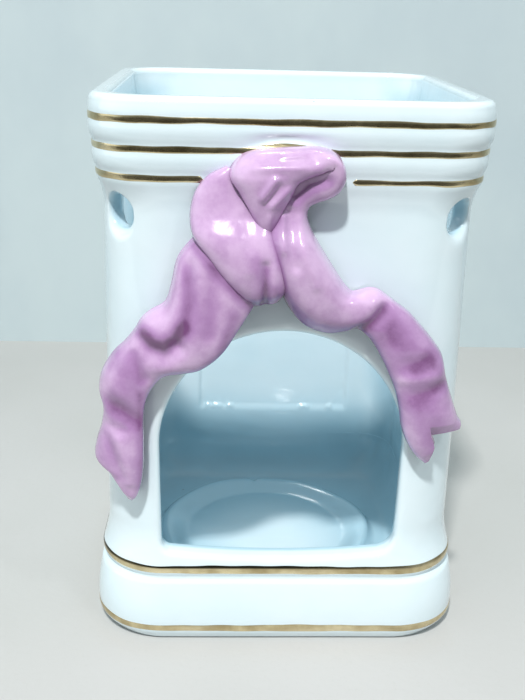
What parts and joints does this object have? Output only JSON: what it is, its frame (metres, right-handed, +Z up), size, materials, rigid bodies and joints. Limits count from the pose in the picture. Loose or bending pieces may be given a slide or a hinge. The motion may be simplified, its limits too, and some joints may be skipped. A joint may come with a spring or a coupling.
{
  "type": "teapot warmer",
  "caption": "Rounded-square porcelain tower that keeps a teapot warm over a candle, with an arched opening, corner vents, gilded lines and an applied ribbon bow.",
  "frame": {"origin": "on the ground, in the middle of the overall bounding box with the bow; the tower's own upright axis stands 3.3 mm behind it, towards +Y", "axes": "+Z up; the arched opening and the bow face -Y; +X is to the right as one looks at the front"},
  "size_m": [0.09, 0.0966, 0.1285],
  "materials": {
    "porcelain": "smooth clear glaze on pale blue-white porcelain",
    "gilding": "hand-painted gold lustre, polished",
    "lilac_glaze": "glossy lilac glaze, paler on the crowns and deeper in the folds"
  },
  "bodies": {
    "root": {"foot_ring": "porcelain", "floor_dish": "porcelain", "tower_wall": "porcelain", "rim_collar": "porcelain", "gilt_line_lip": "gilding", "gilt_line_middle": "gilding", "gilt_line_cove": "gilding", "gilt_line_foot_upper": "gilding", "gilt_line_foot_lower": "gilding", "bow_knot": "lilac_glaze", "bow_loop": "lilac_glaze", "bow_loop_return": "lilac_glaze", "bow_right_strip": "lilac_glaze", "bow_right_tail": "lilac_glaze", "bow_left_strip": "lilac_glaze", "bow_left_tail": "lilac_glaze"}
  },
  "joints": []
}
